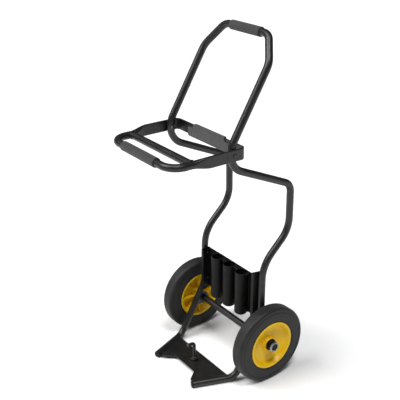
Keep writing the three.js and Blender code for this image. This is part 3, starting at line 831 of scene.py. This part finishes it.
def axle_bracket(side):
    """A cheek welded to the back of a leg and round the axle."""
    shape = outline(
        (-22, WHEEL_R + 24, 2), (-36, WHEEL_R - 20, 2), (2, WHEEL_R - 19, 17), (18.5, WHEEL_R - 6, 14),
        (16, WHEEL_R + 15, 15), (-6, WHEEL_R + 24, 5),
    )
    cheek = shifted(moved(slab(shape, 5, 0.7), IN_YZ), side * SIDE_X - 2.5, 0, 0)
    beads = []
    for face in (-1, 1):
        ring = [point(side * SIDE_X + face * 2.7, p.x, WHEEL_R + p.y) for p in polygon(TUBE_R + 0.7, 60)]
        beads.append(weld(ring, 1.6, closed=True))
        ends = (WHEEL_R - 17, WHEEL_R - 13)
        run = [point(side * SIDE_X + face * 2.9, leg_y(z) + 11.9, z) for z in ends]
        beads.append(weld(run, 1.6))
    return cheek, *beads


# ---------------------------------------------------------------- tool holder


def fluted_outline():
    """The holder seen from above: a flat back, and three round flutes that stand out of its front."""
    face = HOLDER_BACK - 4
    front = []
    neck = 3.5  # the round between a flute and the face
    for x in (-POCKET_PITCH, 0, POCKET_PITCH):
        reach = POCKET_R + neck
        drop = face - neck - POCKET_Y
        foot = (reach**2 - drop**2) ** 0.5
        tilt = atan2(drop, foot)
        for k in range(8):
            angle = pi / 2 - (pi / 2 + tilt) * k / 7
            front.append(Vector((x - foot + neck * cos(angle), face - neck + neck * sin(angle))))
        for k in range(1, 48):
            angle = pi - tilt + (pi + 2 * tilt) * k / 48
            front.append(Vector((x + POCKET_R * cos(angle), POCKET_Y + POCKET_R * sin(angle))))
        for k in range(8):
            angle = pi + tilt - (pi / 2 + tilt) * k / 7
            front.append(Vector((x + foot + neck * cos(angle), face - neck + neck * sin(angle))))
    back = outline((CHEEK_X, face), (CHEEK_X, HOLDER_BACK), (-CHEEK_X, HOLDER_BACK), (-CHEEK_X, face))
    return back + front


def bored(shape, low, high, edge):
    """An upright wall of an outline, with the pockets' bores through it."""
    made = mesh_of(shifted(slab(shape, high - low, edge), 0, 0, low))
    bore = [(low - 5, 0), (low - 5, POCKET_BORE_R), (high + 5, POCKET_BORE_R), (high + 5, 0)]
    for x in (-POCKET_PITCH, 0, POCKET_PITCH):
        made = less(made, mesh_of(shifted(upright(lathe(bore, 72)), x, POCKET_Y, 0)))
    return [v.co.copy() for v in made.vertices], [tuple(p.vertices) for p in made.polygons]


def mesh_of(shell):
    mesh = bpy.data.meshes.new("tool")
    mesh.from_pydata(shell[0], [], shell[1])
    return mesh


def less(mesh, other):
    """A mesh with another one cut out of it."""
    pair = [bpy.data.objects.new("tool", m) for m in (mesh, other)]
    for o in pair:
        bpy.context.scene.collection.objects.link(o)
    cut = pair[0].modifiers.new("cut", "BOOLEAN")
    cut.operation = "DIFFERENCE"
    cut.object = pair[1]
    cut.solver = "EXACT"
    bpy.context.view_layer.update()
    made = bpy.data.meshes.new_from_object(pair[0].evaluated_get(bpy.context.evaluated_depsgraph_get()))
    for o in pair:
        bpy.data.objects.remove(o)
    return made


def cheek(side):
    """An end wall of the holder, with the lip along its front edge."""
    shape = [
        (CHEEK_X - CHEEK_LIP, -CHEEK_FRONT, 0.8), (CHEEK_X, -CHEEK_FRONT, 2.5),
        (CHEEK_X, HOLDER_BACK, 0.8), (CHEEK_X - CHEEK_THICKNESS, HOLDER_BACK, 0.8),
        (CHEEK_X - CHEEK_THICKNESS, 3 - CHEEK_FRONT, 1.5), (CHEEK_X - CHEEK_LIP, 3 - CHEEK_FRONT, 0.8),
    ]
    if side < 0:
        shape = [(-c[0], *c[1:]) for c in reversed(shape)]
    return shifted(slab(outline(*shape), CHEEK_TOP[side] - CHEEK_BOTTOM, 0.9), 0, 0, CHEEK_BOTTOM)


def tool_holder():
    shells = [bored(fluted_outline(), HOLDER_BOTTOM, HOLDER_TOP - 1, 0.8), cheek(-1), cheek(1)]
    rail = outline(
        (-RAIL_X, POCKET_Y, 2), (RAIL_X, POCKET_Y, 2), (RAIL_X, HOLDER_BACK, 1.5), (-RAIL_X, HOLDER_BACK, 1.5)
    )
    shells.append(bored(rail, HOLDER_TOP - 6, HOLDER_TOP, 1.0))
    lip = outline(
        (HOLDER_TOP - 5, POCKET_BORE_R), (HOLDER_TOP + 0.4, POCKET_BORE_R, 1),
        (HOLDER_TOP + 0.4, POCKET_R + 0.4, 1.4), (HOLDER_TOP - 5, POCKET_R + 0.2, 0.6),
    )
    dome = outline(
        (POCKET_BOTTOM + 15, 0), (POCKET_BOTTOM + 15, POCKET_R - 0.05),
        (POCKET_BOTTOM + 0.5, POCKET_R - 0.05, 8), (POCKET_BOTTOM, 0),
        closed=False,
    )
    for x in (-POCKET_PITCH, 0, POCKET_PITCH):
        shells += [shifted(upright(lathe(profile, 72)), x, POCKET_Y, 0) for profile in (lip, dome)]
    return shells


def holder_screw(side, z):
    """A screw head on the inside of an end wall."""
    head = moved(screw_head(4.2, 2.6), Matrix.Rotation(pi if side > 0 else 0, 4, "Z"))
    return shifted(head, side * (CHEEK_X - CHEEK_THICKNESS - JOINT_GAP), HIP[0], z)


# ---------------------------------------------------------------- base plate and hook


def foot_edge(ahead, clear=0.6):
    """Half-width of the plate beside the foot, at a distance ahead of the axle."""
    share = (ahead + HEEL[0]) / (HEEL[0] - TOE[0])
    slope = (SIDE_X - TOE_X) / (HEEL[0] - TOE[0])
    return SIDE_X + share * (TOE_X - SIDE_X) - (TUBE_R + clear) * (1 + slope * slope) ** 0.5


def base_plate():
    back = foot_edge(PLATE_BACK)
    wing = foot_edge(PLATE_WING)
    shape = outline(
        (-back, -PLATE_BACK, 2), (-wing, -PLATE_WING, 1.5), (-wing + 11, -PLATE_WING, 3),
        (-50, -PLATE_FRONT, 14), (50, -PLATE_FRONT, 14),
        (wing - 11, -PLATE_WING, 3), (wing, -PLATE_WING, 1.5), (back, -PLATE_BACK, 2),
    )
    shells = [shifted(slab(shape, PLATE_THICKNESS, 0.6), 0, 0, PLATE_BOTTOM)]
    for side in SIDES:
        for start in (PLATE_BACK + 6, 148, 184):
            ends = [point(side * foot_edge(a, 0.1), -a, PLATE_TOP + 0.3) for a in (start, start + 22)]
            shells.append(weld(ends, 1.9))
    return shells


def about_hook(shell):
    return shifted(upright(shell), 0, HOOK_Y, 0)


def plate_hook():
    low = PLATE_TOP + 0.3
    boss = outline(
        (low, 4.3), (HOOK_BOSS_TOP - 2, 4.3), (HOOK_BOSS_TOP - 2, 0), (HOOK_BOSS_TOP, 0),
        (HOOK_BOSS_TOP, HOOK_BOSS_R - 1.2, 1), (HOOK_BOSS_TOP - 1.5, HOOK_BOSS_R, 1),
        (low + 2.5, HOOK_BOSS_R, 0.4), (low + 2.2, HOOK_BOSS_R - 0.6, 0.3),
        (low, HOOK_BOSS_R - 0.6, 0.5),
    )
    foot = point(0, HOOK_Y, HOOK_BOSS_TOP - 1)
    bend = point(0, HOOK_Y, 76)
    tip = point(0, HOOK_Y - 26, 78)
    path = rounded([(foot, 0), (bend, 10), (tip, 0)])
    root = [point(p.x, HOOK_Y + p.y, HOOK_BOSS_TOP + 0.4) for p in polygon(HOOK_R + 0.5, 40)]
    bead = weld(root, 1.5, 1.8, closed=True)
    return about_hook(lathe(boss[::-1], 96)), tube(path, HOOK_R, 40, 1.6), bead


def hook_bolt():
    """A hexagon bolt under the plate, driven up into the hook's boss."""
    under = PLATE_BOTTOM - 0.3
    head = shifted(slab(polygon(7.5, 6), 4.4, 0.7), 0, HOOK_Y, under - 5.3)
    washer = outline((under - 1, 0), (under, 0), (under, 7.4, 0.2), (under - 1, 7.4, 0.3))
    tip = HOOK_BOSS_TOP - 3
    shank = [(under - 2, 0), (under - 2, 4), (tip - 0.8, 4), (tip, 3.2), (tip, 0)]
    return head, about_hook(lathe(washer[::-1], 64)), about_hook(lathe(shank, 40))


# ---------------------------------------------------------------- assembly

build("handle_tube", handle_tube())
build("handle_grip", shifted(grip(130), 0, TOP[0], TOP[1]))
build("ring_tube", ring_tube())
build("ring_strap", ring_strap())
build("ring_cross_bar", *ring_cross_bar())
build("ring_grip", shifted(grip(164), 0, -RING_FRONT, PIVOT_Z))
build("ring_back_pad", *ring_back_pad())
build("axle", axle())
build("tool_holder", *tool_holder())
build("base_plate", *base_plate())
build("plate_hook", *plate_hook())
build("hook_bolt", *hook_bolt())

for side in SIDES:
    word = WORD[side]
    build(word + "_column_tube", *column_tube(side))
    build(word + "_leg_tube", *leg_tube(side))
    build(word + "_joint_screw", joint_screw(side))
    build(word + "_foot_cap", foot_cap(side))
    build(word + "_axle_bracket", *axle_bracket(side))
    build(word + "_stop_pin", stop_pin(side))
    build(word + "_pivot_bolt", pivot_bolt(side))
    build(word + "_pivot_washer", pivot_washer(side))
    build(word + "_pivot_nut", *pivot_nut(side))
    build(word + "_upper_holder_screw", holder_screw(side, HOLDER_SCREW_Z[0]))
    build(word + "_lower_holder_screw", holder_screw(side, HOLDER_SCREW_Z[1]))
    build(word + "_axle_spacer", axle_spacer(side))
    build(word + "_tyre", at_wheel(tyre(), side))
    build(word + "_rim", *[at_wheel(shell, side) for shell in rim()])
    build(word + "_hub_bush", at_wheel(hub_bush(), side))
    build(word + "_hub_collar", at_wheel(hub_collar(), side))
    build(word + "_axle_cap", at_wheel(axle_cap(), side))
    build(word + "_axle_plug", at_wheel(axle_plug(), side))

# ---------------------------------------------------------------- floor, lights and camera

ROOM_LIGHT = 0.12


def floor():
    mesh = bpy.data.meshes.new("floor")
    reach = 12
    corners = [(-reach, -reach, 0), (reach, -reach, 0), (reach, reach, 0), (-reach, reach, 0)]
    mesh.from_pydata(corners, [], [(0, 1, 2, 3)])
    paint = Paint("pale_floor", Specular_IOR_Level=0.2)
    mesh.materials.append(paint.finish(paint.mix(paint.noise(3, 3), grey(0.88), grey(0.91)), 0.7))
    made = bpy.data.objects.new("floor", mesh)
    bpy.context.scene.collection.objects.link(made)


def towards(azimuth, elevation):
    """The direction out to a place in the sky, with azimuths turning from the front towards the right."""
    flat = cos(radians(elevation))
    return Vector((sin(radians(azimuth)) * flat, -cos(radians(azimuth)) * flat, sin(radians(elevation))))


def soft_light(name, azimuth, elevation, spread, strength):
    """A wide, even source so far off that it lights the whole floor alike."""
    light = bpy.data.lights.new(name, "SUN")
    light.angle = radians(spread)
    light.energy = strength
    made = bpy.data.objects.new(name, light)
    made.rotation_euler = towards(azimuth, elevation).to_track_quat("Z", "Y").to_euler()
    bpy.context.scene.collection.objects.link(made)


def studio():
    """Dim surroundings light the cart, in front of a white backdrop."""
    world = bpy.data.worlds.new("studio")
    world.use_nodes = True
    tree = world.node_tree
    backdrop = tree.nodes["Background"]
    backdrop.inputs["Color"].default_value = (1, 1, 1, 1)
    room = tree.nodes.new("ShaderNodeBackground")
    room.inputs["Color"].default_value = (0.95, 0.97, 1, 1)
    room.inputs["Strength"].default_value = ROOM_LIGHT
    mixed = tree.nodes.new("ShaderNodeMixShader")
    tree.links.new(tree.nodes.new("ShaderNodeLightPath").outputs["Is Camera Ray"], mixed.inputs[0])
    tree.links.new(room.outputs[0], mixed.inputs[1])
    tree.links.new(backdrop.outputs[0], mixed.inputs[2])
    tree.links.new(mixed.outputs[0], tree.nodes["World Output"].inputs["Surface"])
    bpy.context.scene.world = world


def camera():
    azimuth = radians(53.88)
    elevation = radians(24.05)
    data = bpy.data.cameras.new("camera")
    data.sensor_width = 36
    data.lens = 69.08
    made = bpy.data.objects.new("camera", data)
    back = Vector((sin(azimuth) * cos(elevation), -cos(azimuth) * cos(elevation), sin(elevation)))
    made.location = Vector((-0.0539, 0.0238, 0.5395)) + back * 2.3283
    made.rotation_euler = back.to_track_quat("Z", "Y").to_euler()
    bpy.context.scene.collection.objects.link(made)
    bpy.context.scene.camera = made


floor()
soft_light("key", -25, 50, 40, 3.0)
soft_light("fill", 70, 70, 18, 1.8)
studio()
bpy.context.scene.view_settings.view_transform = "Standard"
camera()
